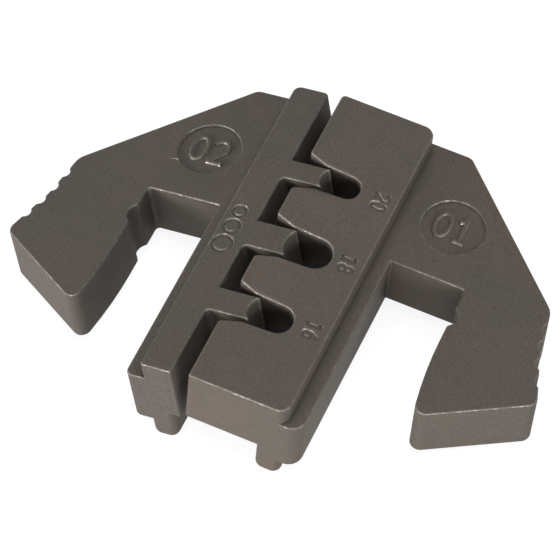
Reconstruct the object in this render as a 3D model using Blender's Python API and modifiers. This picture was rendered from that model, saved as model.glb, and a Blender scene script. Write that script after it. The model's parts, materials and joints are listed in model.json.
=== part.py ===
# Crimp die: two snap-in die halves that crimp open-barrel wire terminals.
# The nest half has three deep channels with round ends, and the anvil half has three tongues,
# each with a hollow tip, that enter them. Each half is one solid steel piece with a hooked wing
# that snaps into the jaw of a hand tool. They lie as they are laid down after use: side by side,
# the tongues in the mouths of the nests, each half on its rib and on the tip of its wing.

import math

import bmesh
import bpy
from mathutils import Matrix, Vector

MM = 0.001

# All sizes are in millimetres. Each half is drawn in a frame of its own: x is 0 at the block's
# side in the slot and grows out along the wing, y is 0 at the end wall of the slot and grows to
# the back, and z is 0 at the underside of the wing.

# Sizes that both halves share
WING_THICKNESS = 4.8
BLOCK_HEIGHT = 6.5
BLOCK_BACK = 11.5
BLOCK_FRONT = -16.8
UNDERSIDE = 1.15
EDGE_ROUND = 0.14
ARC_STEP = math.radians(12)
LEAST_ARC_STEPS = 4
WELD = 0.001

# Hooked wing
SLOT_WIDTH = 5.9
SLOT_CORNER = 0.3
SHOULDER_X = 1.88
SHOULDER_ROUND = 0.75
ELBOW = (12.32, 1.07)
ELBOW_ROUND = 1.5
WAIST = (12.985, -2.9)
HEEL = (14.41, -7.11)
HEEL_ROUND = 0.8
HOOK_TIP_Y = -11.93
HOOK_FLARE = 0.7
HOOK_TIP_ROUND = 0.75
HOOK_KNEE_Y = -7.8
HOOK_KNEE_ROUND = 35.0

# How round the lips of every notch are
NOTCH_LIP_ROUND = 0.22

# Thumb grip: a row of notches in the edge that runs from the elbow by the waist to the heel, as many
# above the waist as below it
GRIP_EACH_SIDE = 2
GRIP_PITCH = 1.56
GRIP_RADIUS = 0.5
GRIP_DEPTH = 0.28

# Detent for the jaw's spring ball: a notch in the inner edge of the hook
DETENT_Y = -2.65
DETENT_RADIUS = 0.95
DETENT_DEPTH = 0.45

# Round pocket on top of the wing, where a number stands
POCKET_CENTRE = (3.0, 4.88)
POCKET_RADIUS = 2.4
POCKET_DEPTH = 0.2
POCKET_SIDES = 48

# Rib under the block: its long lower edges are rounder than its lower end edges
RIB_START = 1.33
RIB_WIDTH = 2.0
RIB_DEPTH = 1.6
RIB_ROUND = 0.5
RIB_CORNER_ROUND = 0.55

# Stations, back to front: the radius of each nest's round end and the nest's depth
STATION_PITCH = 6.55
MIDDLE_STATION_Y = -2.95
NEST_RADII = (1.0, 1.33, 1.18)
NEST_DEPTHS = (4.7, 5.2, 4.95)

# Nest half
NEST_BLOCK_WIDTH = 8.87
NEST_STEP = 1.18
NEST_DRAFT = 0.16
NEST_FLARE_DEPTH = 1.55
NEST_FLARE = 0.58
NEST_MOUTH_ROUND = 0.3
NEST_BACK_ROUNDS = (0.9, 0.35)
NEST_FRONT_ROUNDS = (0.9, 0)
NEST_SIDE_ROUND = 1.15

# Anvil half, whose parting face leans a little to the front
ANVIL_WIDTH_BACK = 4.28
ANVIL_WIDTH_FRONT = 3.95
ANVIL_STEP = 1.5
TONGUE_REACH = 7.38
TONGUE_CLEARANCE = 0.11
TONGUE_ROOT_ROUNDS = (0.15, 0.35)
CRADLE_DEPTHS = (0.42, 0.46, 0.5)
ANVIL_BACK_ROUNDS = (0.6, 0.35)
ANVIL_FRONT_ROUNDS = (0.3, 0)
ANVIL_SIDE_ROUND = 0.6

# How the two halves lie
PARTING_GAP = 0.08
SIDE_SHIFT = 0.05

STEEL = {"color": (0.105, 0.092, 0.082, 1.0), "metallic": 0.85, "roughness": 0.45}


# The y of a station, counted from the back
def station_y(index):
    return MIDDLE_STATION_Y + (1 - index) * STATION_PITCH


# Corner points (x, y, radius) made into an outline, with each radius as an arc
def rounded(corners):
    outline = []
    for index, (x, y, radius) in enumerate(corners):
        corner = Vector((x, y))
        if radius == 0:
            outline.append(corner)
            continue
        following = corners[(index + 1) % len(corners)]
        back = (Vector(corners[index - 1][:2]) - corner).normalized()
        ahead = (Vector(following[:2]) - corner).normalized()
        half_angle = back.angle(ahead) / 2
        reach = radius / math.tan(half_angle)
        centre = corner + (back + ahead).normalized() * radius / math.sin(half_angle)
        start = corner + back * reach - centre
        end = corner + ahead * reach - centre
        sweep = math.pi - 2 * half_angle
        if start.x * end.y < start.y * end.x:
            sweep = -sweep
        steps = max(LEAST_ARC_STEPS, math.ceil(abs(sweep) / ARC_STEP))
        for step in range(steps + 1):
            point = centre + Matrix.Rotation(sweep * step / steps, 2) @ start
            if not outline or (point - outline[-1]).length > WELD:
                outline.append(point)
    return outline


# A hollow between two points of a tongue's tip, as points along its arc
def hollow(x, high_y, low_y, depth):
    half_chord = (high_y - low_y) / 2
    radius = (half_chord ** 2 + depth ** 2) / (2 * depth)
    half_sweep = math.asin(half_chord / radius)
    steps = math.ceil(2 * half_sweep / ARC_STEP)
    points = []
    for step in range(1, steps):
        angle = half_sweep * (1 - 2 * step / steps)
        points.append((x + radius * (math.cos(angle) - math.cos(half_sweep)),
                       (high_y + low_y) / 2 + radius * math.sin(angle), 0))
    return points


# The corners of a round-bottomed notch in an edge that runs along a direction, its inside on the right.
# The round bottom runs straight into the round lips.
def notch(middle, along, radius, depth):
    inward = Vector((along.y, -along.x))
    slope = math.acos(1 - depth / (radius + NOTCH_LIP_ROUND))
    point_depth = depth + radius / math.cos(slope) - radius
    half_width = along * point_depth / math.tan(slope)
    return [(*(middle - half_width), NOTCH_LIP_ROUND),
            (*(middle + inward * point_depth), radius),
            (*(middle + half_width), NOTCH_LIP_ROUND)]


# The notches and the waist of the thumb edge, from the elbow to the heel
def thumb_edge():
    waist = Vector(WAIST)
    upper = (waist - Vector(ELBOW)).normalized()
    lower = (Vector(HEEL) - waist).normalized()
    places = [(index + 0.5) * GRIP_PITCH for index in range(GRIP_EACH_SIDE)]
    corners = []
    for place in reversed(places):
        corners += notch(waist - upper * place, upper, GRIP_RADIUS, GRIP_DEPTH)
    corners.append((*waist, 0))
    for place in places:
        corners += notch(waist + lower * place, lower, GRIP_RADIUS, GRIP_DEPTH)
    return corners


# The outline of the base, which is the hooked wing and the strip that the block stands on
def base_outline(side_round):
    inner = -(RIB_START + RIB_WIDTH / 2)
    return rounded([
        (inner, BLOCK_BACK, 0),
        (SHOULDER_X, BLOCK_BACK, SHOULDER_ROUND),
        (*ELBOW, ELBOW_ROUND),
        *thumb_edge(),
        (*HEEL, HEEL_ROUND),
        (SLOT_WIDTH + HOOK_FLARE, HOOK_TIP_Y, HOOK_TIP_ROUND),
        (SLOT_WIDTH, HOOK_KNEE_Y, HOOK_KNEE_ROUND),
        *notch(Vector((SLOT_WIDTH, DETENT_Y)), Vector((0, 1)), DETENT_RADIUS, DETENT_DEPTH),
        (SLOT_WIDTH, 0, SLOT_CORNER),
        (0, 0, 0),
        (0, BLOCK_FRONT, side_round),
        (inner, BLOCK_FRONT, 0),
    ])


# The outline of the nest half's raised block, with its three channels
def nest_outline():
    face = -NEST_BLOCK_WIDTH
    flare_x = face + NEST_FLARE_DEPTH
    corners = [(-NEST_STEP, BLOCK_BACK, NEST_BACK_ROUNDS[0]), (face, BLOCK_BACK, NEST_BACK_ROUNDS[1])]
    for index, radius in enumerate(NEST_RADII):
        y = station_y(index)
        end_x = face + NEST_DEPTHS[index]
        throat = radius + NEST_DRAFT
        mouth = throat + NEST_FLARE
        corners += [
            (face, y + mouth, NEST_MOUTH_ROUND),
            (flare_x, y + throat, 0),
            (end_x, y + radius, radius * 0.98),
            (end_x, y - radius, radius * 0.98),
            (flare_x, y - throat, 0),
            (face, y - mouth, NEST_MOUTH_ROUND),
        ]
    corners += [(face, BLOCK_FRONT, NEST_FRONT_ROUNDS[1]), (-NEST_STEP, BLOCK_FRONT, NEST_FRONT_ROUNDS[0])]
    return rounded(corners)


# Half the width of the tongue that enters a nest
def tongue_half_width(index):
    return NEST_RADII[index] - TONGUE_CLEARANCE


# The x of the anvil half's leaning parting face
def parting_x(y):
    share = (y - BLOCK_FRONT) / (BLOCK_BACK - BLOCK_FRONT)
    return -(ANVIL_WIDTH_FRONT + (ANVIL_WIDTH_BACK - ANVIL_WIDTH_FRONT) * share)


# The outline of the anvil half's raised block, with its three tongues
def anvil_outline():
    corners = [(-ANVIL_STEP, BLOCK_BACK, ANVIL_BACK_ROUNDS[0]),
               (parting_x(BLOCK_BACK), BLOCK_BACK, ANVIL_BACK_ROUNDS[1])]
    for index, depth in enumerate(CRADLE_DEPTHS):
        high_y = station_y(index) + tongue_half_width(index)
        low_y = station_y(index) - tongue_half_width(index)
        corners += [
            (parting_x(high_y), high_y, TONGUE_ROOT_ROUNDS[0]),
            (-TONGUE_REACH, high_y, 0),
            *hollow(-TONGUE_REACH, high_y, low_y, depth),
            (-TONGUE_REACH, low_y, 0),
            (parting_x(low_y), low_y, TONGUE_ROOT_ROUNDS[1]),
        ]
    corners += [(parting_x(BLOCK_FRONT), BLOCK_FRONT, ANVIL_FRONT_ROUNDS[1]),
                (-ANVIL_STEP, BLOCK_FRONT, ANVIL_FRONT_ROUNDS[0])]
    return rounded(corners)


# The rib's section, seen from the front, which reaches up into the block
def rib_outline():
    outer = -RIB_START
    inner = -(RIB_START + RIB_WIDTH)
    return rounded([
        (inner, BLOCK_BACK, RIB_CORNER_ROUND),
        (outer, BLOCK_BACK, RIB_CORNER_ROUND),
        (outer, BLOCK_FRONT, RIB_CORNER_ROUND),
        (inner, BLOCK_FRONT, RIB_CORNER_ROUND),
    ])


# A mesh object from a filled curve or from a mesh object's modifiers, welded and facing out
def solid(name, source):
    bpy.context.view_layer.update()
    depsgraph = bpy.context.evaluated_depsgraph_get()
    mesh = bpy.data.meshes.new_from_object(source.evaluated_get(depsgraph))
    mesh.transform(source.matrix_world)
    shape = bmesh.new()
    shape.from_mesh(mesh)
    bmesh.ops.remove_doubles(shape, verts=shape.verts, dist=WELD * MM)
    bmesh.ops.recalc_face_normals(shape, faces=shape.faces)
    shape.to_mesh(mesh)
    shape.free()
    bpy.data.objects.remove(source)
    result = bpy.data.objects.new(name, mesh)
    bpy.context.scene.collection.objects.link(result)
    return result


# A solid of even thickness from an outline; hand is -1 for the half on the left
def plate(name, outline, low, high, hand):
    curve = bpy.data.curves.new(name, "CURVE")
    curve.dimensions = "2D"
    curve.fill_mode = "BOTH"
    curve.extrude = (high - low) / 2 * MM
    spline = curve.splines.new("POLY")
    spline.points.add(len(outline) - 1)
    for point, place in zip(spline.points, outline):
        point.co = (hand * place.x * MM, place.y * MM, 0, 1)
    spline.use_cyclic_u = True
    guide = bpy.data.objects.new(name, curve)
    bpy.context.scene.collection.objects.link(guide)
    guide.location.z = (low + high) / 2 * MM
    return solid(name, guide)


# A round cutter that stands upright
def drill(name, x, y, low, high, radius, sides, hand):
    bpy.ops.mesh.primitive_cylinder_add(
        vertices=sides, radius=radius * MM, depth=(high - low) * MM,
        location=(hand * x * MM, y * MM, (low + high) / 2 * MM))
    cutter = bpy.context.object
    cutter.name = name
    return cutter


# Adds to or cuts from a body, and bakes the result
def combine(body, operands, operation):
    name = body.name
    for operand in operands:
        boolean = body.modifiers.new(operand.name, "BOOLEAN")
        boolean.operation = operation
        boolean.solver = "EXACT"
        boolean.object = operand
    result = solid(name, body)
    for operand in operands:
        bpy.data.objects.remove(operand)
    return result


# A plate with whole flat faces and every sharp edge rounded
def rounded_plate(name, outline, low, high, hand):
    body = plate(name, outline, low, high, hand)
    whole_faces(body)
    bevel = body.modifiers.new("Edges", "BEVEL")
    bevel.width = EDGE_ROUND * MM
    bevel.segments = 2
    bevel.limit_method = "ANGLE"
    bevel.angle_limit = math.radians(35)
    bevel.use_clamp_overlap = False
    return solid(name, body)


# Triangles in one plane become one face
def whole_faces(body):
    planar = body.modifiers.new("Flat faces", "DECIMATE")
    planar.decimate_type = "DISSOLVE"
    planar.angle_limit = math.radians(0.5)


# The rib, whose lower edge grows rounder from its ends to its sides
def rounded_rib(hand):
    flat = plate("rib", rib_outline(), -RIB_DEPTH, (UNDERSIDE + BLOCK_HEIGHT) / 2, hand)
    whole_faces(flat)
    body = solid("rib", flat)
    weights = body.data.attributes.new("bevel_weight_edge", "FLOAT", "EDGE")
    for edge in body.data.edges:
        start, end = (body.data.vertices[index].co for index in edge.vertices)
        run = end - start
        if max(start.z, end.z) < -RIB_DEPTH / 2 * MM:
            along = abs(run.y) / run.length
            weights.data[edge.index].value = along + (1 - along) * EDGE_ROUND / RIB_ROUND
    bevel = body.modifiers.new("Lower edge", "BEVEL")
    bevel.width = RIB_ROUND * MM
    bevel.segments = 5
    bevel.limit_method = "WEIGHT"
    bevel.use_clamp_overlap = False
    return solid("rib", body)


# One half: raised block, base and rib in one piece
def half(name, block_outline, side_round, hand):
    block = rounded_plate(name, block_outline, UNDERSIDE, BLOCK_HEIGHT, hand)
    body = combine(block, [
        rounded_plate("base", base_outline(side_round), 0, WING_THICKNESS, hand),
        rounded_rib(hand),
    ], "UNION")
    return sink_pocket(body, hand)


# The round pocket, with a crisp rim
def sink_pocket(body, hand):
    x, y = POCKET_CENTRE
    cutter = drill("pocket", x, y, WING_THICKNESS - POCKET_DEPTH, BLOCK_HEIGHT, POCKET_RADIUS, POCKET_SIDES, hand)
    return combine(body, [cutter], "DIFFERENCE")


# The lean at which the rounded rib and the rounded heel touch the same floor
def rest_lean():
    outline = base_outline(0)
    reach = max(point.x for point in outline) - EDGE_ROUND + RIB_START + RIB_ROUND
    drop = EDGE_ROUND + RIB_DEPTH - RIB_ROUND
    return math.atan2(drop, reach) + math.asin((RIB_ROUND - EDGE_ROUND) / math.hypot(reach, drop))


# How far the two frames lie apart, so that the parting faces just miss each other
def rest_spacing(lean):
    widths = (NEST_BLOCK_WIDTH + ANVIL_WIDTH_BACK) * math.cos(lean)
    return widths - 2 * UNDERSIDE * math.sin(lean) + PARTING_GAP


# Lays a half on the floor, leaning out, with the pair centred on the origin
def lay_down(body, hand):
    lean = rest_lean()
    turn = Matrix.Rotation(hand * lean, 3, "Y")
    lowest = min((turn @ vertex.co).z for vertex in body.data.vertices)
    body.rotation_euler.y = hand * lean
    body.location = (hand * rest_spacing(lean) / 2 * MM,
                     -(BLOCK_BACK + BLOCK_FRONT) / 2 * MM - hand * SIDE_SHIFT / 2 * MM,
                     -lowest)


def steel(name):
    material = bpy.data.materials.new(name)
    material.use_nodes = True
    shader = material.node_tree.nodes["Principled BSDF"]
    shader.inputs["Base Color"].default_value = STEEL["color"]
    shader.inputs["Metallic"].default_value = STEEL["metallic"]
    shader.inputs["Roughness"].default_value = STEEL["roughness"]
    return material


def main():
    for item in list(bpy.data.objects):
        bpy.data.objects.remove(item)
    parts = bpy.data.collections.new("crimp_die")
    bpy.context.scene.collection.children.link(parts)
    for name, outline, side_round, hand in (
            ("nest_die", nest_outline(), NEST_SIDE_ROUND, 1),
            ("anvil_die", anvil_outline(), ANVIL_SIDE_ROUND, -1)):
        body = half(name, outline, side_round, hand)
        lay_down(body, hand)
        body.data.materials.clear()
        body.data.materials.append(steel(name + "_steel"))
        body.data.shade_smooth()
        body.data.set_sharp_from_angle(angle=math.radians(30))
        bpy.context.scene.collection.objects.unlink(body)
        parts.objects.link(body)


main()
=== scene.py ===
# Looks of the crimp die: two halves of sintered steel with a dark brown oxide finish, lying side by side
# on a white table. Lengths are in metres, and in millimetres where a name ends in Mm.
import json
import math

import bpy
from mathutils import Matrix, Vector


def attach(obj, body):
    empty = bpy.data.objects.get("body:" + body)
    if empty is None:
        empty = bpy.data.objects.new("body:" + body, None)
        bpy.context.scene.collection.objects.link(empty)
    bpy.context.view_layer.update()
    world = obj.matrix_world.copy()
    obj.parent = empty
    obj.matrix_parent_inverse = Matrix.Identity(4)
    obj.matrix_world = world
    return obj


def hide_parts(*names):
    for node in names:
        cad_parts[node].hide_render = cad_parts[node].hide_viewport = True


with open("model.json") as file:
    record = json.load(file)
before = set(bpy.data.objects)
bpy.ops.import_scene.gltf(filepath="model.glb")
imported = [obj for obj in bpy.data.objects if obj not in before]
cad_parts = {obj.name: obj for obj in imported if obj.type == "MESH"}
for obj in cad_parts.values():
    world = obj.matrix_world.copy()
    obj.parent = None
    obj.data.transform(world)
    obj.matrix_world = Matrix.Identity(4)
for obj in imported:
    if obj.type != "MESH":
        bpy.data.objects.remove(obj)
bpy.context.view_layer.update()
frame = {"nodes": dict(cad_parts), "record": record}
print("frame loaded:", ", ".join(frame["nodes"]))

mm = 0.001

# camera

cameraView = {
    "azimuth": 25.75,                       # degrees to the right of straight in front
    "elevation": 52.48,
    "roll": -2.79,
    "aim": (-0.64 * mm, -0.58 * mm, 4.0 * mm),
    "distance": 274.5 * mm,
    "lens": 237.9,                          # in the sensor's unit
    "sensor": 36,
    "nearest": 0.01,
    "farthest": 20,
}


def makeCamera(view):
    data = bpy.data.cameras.new("camera")
    data.lens = view["lens"]
    data.sensor_width = view["sensor"]
    data.clip_start = view["nearest"]
    data.clip_end = view["farthest"]
    camera = bpy.data.objects.new("camera", data)
    bpy.context.collection.objects.link(camera)
    azimuth, elevation, roll = (math.radians(view[key]) for key in ("azimuth", "elevation", "roll"))
    turn = Matrix.Rotation(azimuth, 3, "Z") @ Matrix.Rotation(math.pi / 2 - elevation, 3, "X")
    back = turn @ Vector((0, 0, 1))
    camera.location = Vector(view["aim"]) + back * view["distance"]
    camera.rotation_euler = (turn @ Matrix.Rotation(roll, 3, "Z")).to_euler()
    bpy.context.scene.camera = camera


makeCamera(cameraView)
print("camera set")

# shader maths


class Amount:                               # a socket; sums and products of it add Math nodes
    def __init__(self, shade, socket):
        self.shade = shade
        self.socket = socket

    def __add__(self, other):
        return self.shade.maths("ADD", self, other)

    def __sub__(self, other):
        return self.shade.maths("SUBTRACT", self, other)

    def __rsub__(self, other):
        return self.shade.maths("SUBTRACT", other, self)

    def __mul__(self, other):
        return self.shade.maths("MULTIPLY", self, other)

    __radd__ = __add__
    __rmul__ = __mul__

    def clamped(self):
        return self.shade.maths("ADD", self, 0, clamp=True)


class Shade:                                # the nodes of one material or of the world
    def __init__(self, owner):
        owner.use_nodes = True
        self.tree = owner.node_tree
        self.tree.nodes.clear()

    # a node of any kind, with its settings first, then its sockets' values and links
    def node(self, kind, settings, inputs, output=0):
        made = self.tree.nodes.new("ShaderNode" + kind)
        for name, value in settings.items():
            if name == "stops":
                self.setStops(made.color_ramp, value)
            else:
                setattr(made, name, value)
        for name, value in inputs.items():
            if isinstance(value, Amount):
                self.tree.links.new(value.socket, made.inputs[name])
            else:
                made.inputs[name].default_value = value
        return Amount(self, made.outputs[output]) if made.outputs else None

    def setStops(self, ramp, stops):
        while len(ramp.elements) < len(stops):
            ramp.elements.new(1)
        for element, (position, level) in zip(ramp.elements, stops):
            element.position = position
            element.color = (level, level, level, 1)

    def maths(self, operation, first, second, clamp=False):
        return self.node("Math", {"operation": operation, "use_clamp": clamp}, {0: first, 1: second})

    def ramp(self, value, stops):
        return self.node("ValToRGB", {"stops": stops}, {"Fac": value})

    def mixed(self, factor, first, second):
        return self.node("Mix", {"data_type": "RGBA"}, {0: factor, 6: first, 7: second}, output=2)

    def noise(self, place, sizeMm, detail, roughness):
        return self.node("TexNoise", {}, {
            "Vector": place,
            "Scale": 1 / (sizeMm * mm),
            "Detail": detail,
            "Roughness": roughness,
        })

    # 1 where nothing of the piece lies within the distance, in the air before the face or inside behind it
    def openness(self, distanceMm, inside=False):
        settings = {"inside": inside, "only_local": True, "samples": 12}
        return self.node("AmbientOcclusion", settings, {"Distance": distanceMm * mm}, output="AO")


# steel

steelFinish = {
    "wornAndHighlight": (0.62, 0.58, 0.53, 1),          # bare steel where the oxide is rubbed off, and painted highlight on rims that face the front
    "sootAndShade": (0.030, 0.026, 0.023, 1),       # dark colour: random darkening in the grain, and painted shade in corners and channels
    "metallic": 0.04,
    "wornMetallic": 0.85,
    "gloss": 0.06,
    "roughness": 0.56,
    "grainRoughness": 0.16,
    "blotchRoughness": 0.1,
    "wornSmoothness": 0.3,
    # noises: size in mm, detail and roughness
    "patches": (7, 2, 0.5),
    "blotches": (1.6, 4, 0.6),
    "grain": (0.11, 3, 0.7),
    "chips": (0.35, 2, 0.5),
    # how the noises shift the tint and darken it
    "patchContrast": 2,
    "blotchContrast": 1.6,
    "grainFilm": ((0.3, 0.55), (0.62, 0)),
    # rubbed steel at edges; painted highlight on rims that face up, most of all on those at the front
    "wearMm": 0.25,
    "edgeStops": ((0.5, 1), (0.9, 0)),
    "nickStops": ((0.5, 0.1), (0.6, 1)),
    "edgeWear": 0.45,
    "frontStops": ((0.5, 0.35), (0.75, 1)),
    "rimStops": ((0.2, 0), (0.4, 1), (0.8, 1), (0.93, 0)),
    "rimRaggedness": 0.25,
    "rimHighlight": ((0.4, 0.2), (0.6, 0.45)),
    "chipStops": ((0.52, 0), (0.62, 1)),
    "chipHighlight": 0.35,
    "wornAndHighlightShare": 0.4,
    # painted shade: darker in wide corners and in fine grooves
    "cornerMm": 4,
    "cornerStops": ((0.25, 1), (0.75, 0)),
    "cornerShade": 0.7,
    "grooveMm": 0.35,
    "grooveStops": ((0.3, 1), (0.85, 0)),
    "grooveShade": 0.15,
    # bump
    "grainHeight": 0.35,
    "blotchHeight": 0.65,
    "bumpStrength": 0.35,
    "bumpMm": 0.012,
}


# sharp edges rubbed bare, plus painted highlight: rims that face up and to the front are lightened
def wearAndHighlightAmount(shade, place, blotch, finish):
    chips = shade.noise(place, *finish["chips"])
    edge = shade.ramp(shade.openness(finish["wearMm"], inside=True), finish["edgeStops"])
    nick = shade.ramp(chips, finish["nickStops"])
    facing = shade.node("TexCoord", {}, {}, output="Normal")
    rise = shade.node("SeparateXYZ", {}, {"Vector": facing}, output="Z")
    back = shade.node("SeparateXYZ", {}, {"Vector": facing}, output="Y")
    # painted highlight: the rim mask grows on faces that turn to the front
    front = shade.ramp(0.5 - back * 0.5, finish["frontStops"])
    rim = shade.ramp(rise + (chips - 0.5) * finish["rimRaggedness"], finish["rimStops"]) * front
    chipped = shade.ramp(chips, finish["chipStops"]) * finish["chipHighlight"]
    rimHighlight = rim * (shade.ramp(blotch, finish["rimHighlight"]) + chipped)
    return (edge * nick * finish["edgeWear"] + rimHighlight).clamped()


# painted shade: darker in wide corners and in fine grooves, where shade falls
def paintedShadeAmount(shade, finish):
    corner = shade.ramp(shade.openness(finish["cornerMm"]), finish["cornerStops"])
    groove = shade.ramp(shade.openness(finish["grooveMm"]), finish["grooveStops"])
    return (corner * finish["cornerShade"] + groove * finish["grooveShade"]).clamped()


def makeSteel(name, tint, finish):
    material = bpy.data.materials.new(name)
    shade = Shade(material)
    place = shade.node("TexCoord", {}, {}, output="Object")
    patch = shade.noise(place, *finish["patches"])
    blotch = shade.noise(place, *finish["blotches"])
    grain = shade.noise(place, *finish["grain"])
    wearAndHighlight = wearAndHighlightAmount(shade, place, blotch, finish)
    shift = (patch - 0.5) * finish["patchContrast"] + (blotch - 0.5) * finish["blotchContrast"]
    colour = shade.mixed((shift + 0.5).clamped(), tint["brown"], tint["grey"])
    colour = shade.mixed(shade.ramp(grain, finish["grainFilm"]), colour, finish["sootAndShade"])
    # painted shade in corners and grooves
    colour = shade.mixed(paintedShadeAmount(shade, finish), colour, finish["sootAndShade"])
    # bare steel at worn edges, and painted highlight on rims at the front
    colour = shade.mixed(wearAndHighlight * finish["wornAndHighlightShare"], colour, finish["wornAndHighlight"])
    roughness = finish["roughness"] + (grain - 0.5) * finish["grainRoughness"]
    roughness = roughness + (blotch - 0.5) * finish["blotchRoughness"] - wearAndHighlight * finish["wornSmoothness"]
    bump = shade.node("Bump", {}, {
        "Strength": finish["bumpStrength"],
        "Distance": finish["bumpMm"] * mm,
        "Height": grain * finish["grainHeight"] + blotch * finish["blotchHeight"],
    })
    surface = shade.node("BsdfPrincipled", {}, {
        "Base Color": colour,
        "Metallic": finish["metallic"] + wearAndHighlight * (finish["wornMetallic"] - finish["metallic"]),
        "Specular IOR Level": finish["gloss"],
        "Roughness": roughness,
        "Normal": bump,
    })
    shade.node("OutputMaterial", {}, {"Surface": surface})
    return material


# table, backdrop and lamps

tableLook = {
    "size": 3.0,
    "white": (0.8, 0.8, 0.8, 1),
    "shadowed": (0.2, 0.2, 0.2, 1),         # what the shadow takes light from
    "glow": 0.9,                            # added where the camera or a reflection sees the table
}

worldFill = 0.13                            # the light that the backdrop throws on the object

lamps = {                                   # place, aim, size and watts
    "left_softbox": ((-0.34, -0.34, 0.1), (0, 0, 0), (0.5, 0.12), 2.5),
    "right_softbox": ((0.43, -0.25, 0.15), (0, 0, 0), (0.3, 0.12), 0.85),
    "front_low_strip": ((0, -0.5, 0.045), (0, 0, 0), (0.3, 0.05), 1.05),
    "right_low_strip": ((0.38, -0.32, 0.045), (0, 0, 0), (0.25, 0.05), 0.55),
    "top_softbox": ((0.08, 0.03, 0.5), (0, 0, 0), (0.4, 0.4), 1.6),
}


directRays = ("Is Camera Ray", "Is Glossy Ray", "Is Transmission Ray")


def seenDirectly(shade):                    # 1 for the camera, for mirrored rays and for rays through glass
    camera, mirrored, through = (shade.node("LightPath", {}, {}, output=ray) for ray in directRays)
    return (camera + mirrored + through).clamped()


def makeTable(look):
    bpy.ops.object.select_all(action="DESELECT")
    bpy.ops.mesh.primitive_plane_add(size=look["size"])
    table = bpy.context.object
    table.name = "table"
    material = bpy.data.materials.new("table_white")
    shade = Shade(material)
    plain = shade.node("BsdfDiffuse", {}, {"Color": look["white"]})
    dimmed = shade.node("BsdfDiffuse", {}, {"Color": look["shadowed"]})
    glow = shade.node("Emission", {}, {"Color": (1, 1, 1, 1), "Strength": look["glow"]})
    seen = shade.node("AddShader", {}, {0: dimmed, 1: glow})
    surface = shade.node("MixShader", {}, {0: seenDirectly(shade), 1: plain, 2: seen})
    shade.node("OutputMaterial", {}, {"Surface": surface})
    table.data.materials.append(material)


def makeWorld(fill):
    world = bpy.data.worlds.new("studio")
    bpy.context.scene.world = world
    shade = Shade(world)
    seen = seenDirectly(shade)
    strength = seen + (1 - seen) * fill
    surface = shade.node("Background", {}, {"Color": (1, 1, 1, 1), "Strength": strength})
    shade.node("OutputWorld", {}, {"Surface": surface})


def makeLamp(name, place, aim, size, watts):
    data = bpy.data.lights.new(name, "AREA")
    data.shape = "RECTANGLE"
    data.size, data.size_y = size
    data.energy = watts
    lamp = bpy.data.objects.new(name, data)
    bpy.context.collection.objects.link(lamp)
    lamp.location = place
    lamp.rotation_euler = (Vector(aim) - Vector(place)).to_track_quat("-Z", "Y").to_euler()


makeTable(tableLook)
makeWorld(worldFill)
for lampName, lampValues in lamps.items():
    makeLamp(lampName, *lampValues)
bpy.context.scene.view_settings.view_transform = "Standard"
print("table, world and lamps made")

# modelling helpers

nodeWeldMm = 0.001                          # corners of a CAD node's triangles this close become one
flatDegrees = 0.5                           # faces that turn less than this become one
weldMm = 0.0005                             # the same for corners of what is modelled here
smoothDegrees = 50                          # edges that turn less than this are shaded smooth
ovalStepDegrees = 15
ovalLeastSteps = 8
figurePitch = 0.74                          # from figure to figure, as a share of their height


def onlySelect(piece):
    bpy.ops.object.select_all(action="DESELECT")
    piece.select_set(True)
    bpy.context.view_layer.objects.active = piece


def applyPlace(piece):
    onlySelect(piece)
    bpy.ops.object.transform_apply(location=True, rotation=True, scale=True)


def mergeDoubles(piece):
    onlySelect(piece)
    bpy.ops.object.mode_set(mode="EDIT")
    bpy.ops.mesh.select_all(action="SELECT")
    bpy.ops.mesh.remove_doubles(threshold=weldMm * mm)
    bpy.ops.mesh.normals_make_consistent(inside=False)
    bpy.ops.object.mode_set(mode="OBJECT")


def combine(piece, tool, operation):
    boolean = piece.modifiers.new(tool.name, "BOOLEAN")
    boolean.operation = operation
    boolean.solver = "MANIFOLD"
    boolean.object = tool
    onlySelect(piece)
    bpy.ops.object.modifier_apply(modifier=boolean.name)
    bpy.data.objects.remove(tool)


# the frame of a half: x to the right, y to the back and z out of its top, from the slot's corner at the top
def placeOfHalf(side):
    mounts = {mount["name"]: mount for mount in frame["record"]["mounts"]}
    up = Vector(mounts[side + "_wing_top"]["axis"])
    right = Vector(mounts[side + "_slot_side"]["axis"])
    back = -Vector(mounts[side + "_slot_end"]["axis"])
    origin = Vector()
    for axis, name in ((up, "_wing_top"), (right, "_slot_side"), (back, "_slot_end")):
        origin += axis * axis.dot(Vector(mounts[side + name]["pos_m"]))
    if right.x < 0:
        right = -right
    place = Matrix((right, back, up)).transposed().to_4x4()
    place.translation = origin
    return place


# a spot on a half, in mm, with its turn in degrees
def seatOn(place, spot, turn=0):
    return place @ Matrix.Translation(Vector(spot) * mm) @ Matrix.Rotation(math.radians(turn), 4, "Z")


# a copy of a node's mesh with its flat faces whole
def copyNode(node, name):
    source = frame["nodes"][node]
    piece = bpy.data.objects.new(name, source.data.copy())
    bpy.context.collection.objects.link(piece)
    onlySelect(piece)
    bpy.ops.mesh.customdata_custom_splitnormals_clear()
    bpy.ops.object.mode_set(mode="EDIT")
    bpy.ops.mesh.select_all(action="SELECT")
    bpy.ops.mesh.remove_doubles(threshold=nodeWeldMm * mm)
    bpy.ops.mesh.dissolve_limited(angle_limit=math.radians(flatDegrees))
    bpy.ops.object.mode_set(mode="OBJECT")
    return piece


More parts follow.
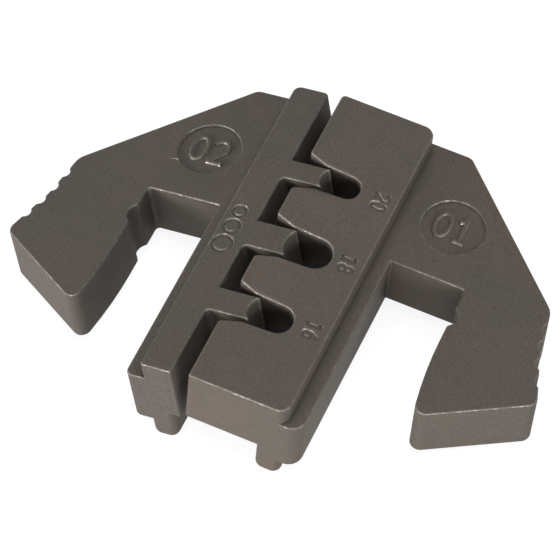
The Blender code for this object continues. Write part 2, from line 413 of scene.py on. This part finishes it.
# the strokes of plain figures 1 high: a run between two corners, or an oval with its middle, its radii
# and the two angles it runs between
figureStrokes = {
    "0": (("oval", (0, 0.5), (0.26, 0.5), 0, 360),),
    "1": (("run", (0, 0), (0, 1)), ("run", (0, 1), (-0.24, 0.8)), ("run", (-0.2, 0), (0.2, 0))),
    "2": (("oval", (0, 0.7), (0.27, 0.3), 165, -28),
          ("run", (0.24, 0.57), (-0.27, 0)),
          ("run", (-0.27, 0), (0.28, 0))),
    "6": (("oval", (0, 0.29), (0.25, 0.29), 0, 360), ("oval", (0.3, 0.3), (0.55, 0.7), 180, 95)),
    "8": (("oval", (0, 0.75), (0.21, 0.25), 0, 360), ("oval", (0, 0.26), (0.25, 0.26), 0, 360)),
}


# the corners of a run or an oval, and whether they close up
def strokeCorners(stroke):
    if stroke[0] == "run":
        return stroke[1:], False
    _, middle, radii, start, end = stroke
    sweep = end - start
    steps = max(ovalLeastSteps, round(abs(sweep) / ovalStepDegrees))
    closed = abs(sweep) == 360
    corners = []
    for step in range(steps if closed else steps + 1):
        angle = math.radians(start + sweep * step / steps)
        corners.append((middle[0] + radii[0] * math.cos(angle), middle[1] + radii[1] * math.sin(angle)))
    return corners, closed


# a round bar along one stroke of a figure
def makeStroke(seat, stroke, heightMm, strokeMm):
    corners, closed = strokeCorners(stroke)
    data = bpy.data.curves.new("stroke", "CURVE")
    data.dimensions = "3D"
    data.bevel_depth = strokeMm / 2 * mm
    data.bevel_resolution = 4
    data.use_fill_caps = True
    spline = data.splines.new("POLY")
    spline.points.add(len(corners) - 1)
    for point, (x, y) in zip(spline.points, corners):
        point.co = (x * heightMm * mm, (y - 0.5) * heightMm * mm, 0, 1)
    spline.use_cyclic_u = closed
    bar = bpy.data.objects.new("stroke", data)
    bpy.context.collection.objects.link(bar)
    onlySelect(bar)
    bpy.ops.object.convert(target="MESH")
    bar = bpy.context.object
    mergeDoubles(bar)
    bar.matrix_world = seat
    applyPlace(bar)
    return bar


# plain figures cut into the piece or raised on it, one stroke after the other
def addFigures(piece, words, seat, heightMm, strokeMm, operation):
    pitch = heightMm * figurePitch
    for index, letter in enumerate(words):
        along = Matrix.Translation(((index - (len(words) - 1) / 2) * pitch * mm, 0, 0))
        for stroke in figureStrokes[letter]:
            combine(piece, makeStroke(seat @ along, stroke, heightMm, strokeMm), operation)


def makeRing(seat, radiusMm, strokeMm):
    bpy.ops.object.select_all(action="DESELECT")
    bpy.ops.mesh.primitive_torus_add(major_segments=64, minor_segments=12,
                                     major_radius=radiusMm * mm, minor_radius=strokeMm / 2 * mm)
    ring = bpy.context.object
    ring.matrix_world = seat
    applyPlace(ring)
    return ring


def makeScratch(place, start, end, widthMm):
    bpy.ops.object.select_all(action="DESELECT")
    bpy.ops.mesh.primitive_uv_sphere_add(segments=12, ring_count=24, radius=1)
    scratch = bpy.context.object
    run = (Vector(end) - Vector(start)) * mm
    lay = run.to_track_quat("Z", "Y").to_matrix().to_4x4()
    middle = Matrix.Translation((Vector(start) + Vector(end)) / 2 * mm)
    shape = Matrix.Diagonal((widthMm / 2 * mm, widthMm / 2 * mm, run.length / 2, 1))
    scratch.matrix_world = place @ middle @ lay @ shape
    applyPlace(scratch)
    return scratch


# what both halves share

topMm = 1.7                                 # the block's top over the wing's top

pocketTrim = {
    "figuresMm": 2.2,
    "strokeMm": 0.42,
    "radiusMm": 2.4,
    "grooveMm": 0.22,                       # the groove that takes the edge off the pocket
}


# raised figures, their tops level with the wing's, and the groove around the pocket
def trimPocket(piece, place, half, trim):
    x, y = half["pocket"]
    seat = seatOn(place, (x, y, -trim["strokeMm"] / 2))
    addFigures(piece, half["pocketWords"], seat, trim["figuresMm"], trim["strokeMm"], "UNION")
    combine(piece, makeRing(seatOn(place, (x, y, 0)), trim["radiusMm"], trim["grooveMm"]), "DIFFERENCE")


# finish of a half: smooth rounds beside flat faces, its steel, its body and the node it stands for
def finishHalf(piece, half, steel):
    mergeDoubles(piece)
    onlySelect(piece)
    bpy.ops.object.shade_smooth_by_angle(angle=math.radians(smoothDegrees))
    weighted = piece.modifiers.new("weighted", "WEIGHTED_NORMAL")
    weighted.keep_sharp = True
    bpy.ops.object.modifier_apply(modifier=weighted.name)
    piece.data.materials.clear()
    piece.data.materials.append(steel)
    node = frame["nodes"][half["node"]]
    for slot in node.material_slots:
        slot.material = steel
    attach(piece, half["body"])
    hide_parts(half["node"])
    print(half["name"], "has", len(piece.data.polygons), "faces")


# nest half

nestHalf = {
    "name": "nest_half_steel",
    "node": "nest_die",
    "body": "nest_half",
    "slot": "nest_steel",
    "tint": {"brown": (0.134, 0.109, 0.091, 1), "grey": (0.113, 0.101, 0.087, 1)},
    "figures": (("20", 3.4), ("18", -2.85), ("16", -9.4)),      # with their place to the back, in mm
    "figuresX": -2.44,
    "figuresTurn": -90,
    "figuresMm": 1.15,
    "strokeMm": 0.4,
    "liftMm": 0.07,                         # of the bars that cut the figures, over the top
    "pocket": (3.0, 4.88),
    "pocketWords": "01",
}


def makeNestHalf(half):
    place = placeOfHalf("nest")
    piece = copyNode(half["node"], half["name"])
    for words, y in half["figures"]:
        seat = seatOn(place, (half["figuresX"], y, topMm + half["liftMm"]), half["figuresTurn"])
        addFigures(piece, words, seat, half["figuresMm"], half["strokeMm"], "DIFFERENCE")
    trimPocket(piece, place, half, pocketTrim)
    finishHalf(piece, half, makeSteel("nest_steel_oxide", half["tint"], steelFinish))


makeNestHalf(nestHalf)

# anvil half

anvilHalf = {
    "name": "anvil_half_steel",
    "node": "anvil_die",
    "body": "anvil_half",
    "slot": "anvil_steel",
    "tint": {"brown": (0.119, 0.101, 0.086, 1), "grey": (0.103, 0.094, 0.084, 1)},
    "rings": ((-1.35, 0.5), (-2.85, 0.62), (-4.6, 0.75)),       # place to the back and radius, in mm
    "ringsX": 2.55,
    "strokeMm": 0.4,
    "liftMm": 0.08,                         # of the rings that cut, over the top
    "pocket": (-3.0, 4.88),
    "pocketWords": "02",
    "scratch": ((-5.85, 3.08, 0.02), (-4.55, 3.19, 0.02)),      # its two ends, in mm
    "scratchMm": 0.12,
}


def makeAnvilHalf(half):
    place = placeOfHalf("anvil")
    piece = copyNode(half["node"], half["name"])
    for y, radius in half["rings"]:
        seat = seatOn(place, (half["ringsX"], y, topMm + half["liftMm"]))
        combine(piece, makeRing(seat, radius, half["strokeMm"]), "DIFFERENCE")
    trimPocket(piece, place, half, pocketTrim)
    combine(piece, makeScratch(place, *half["scratch"], half["scratchMm"]), "DIFFERENCE")
    finishHalf(piece, half, makeSteel("anvil_steel_oxide", half["tint"], steelFinish))


makeAnvilHalf(anvilHalf)

print("halves finished")
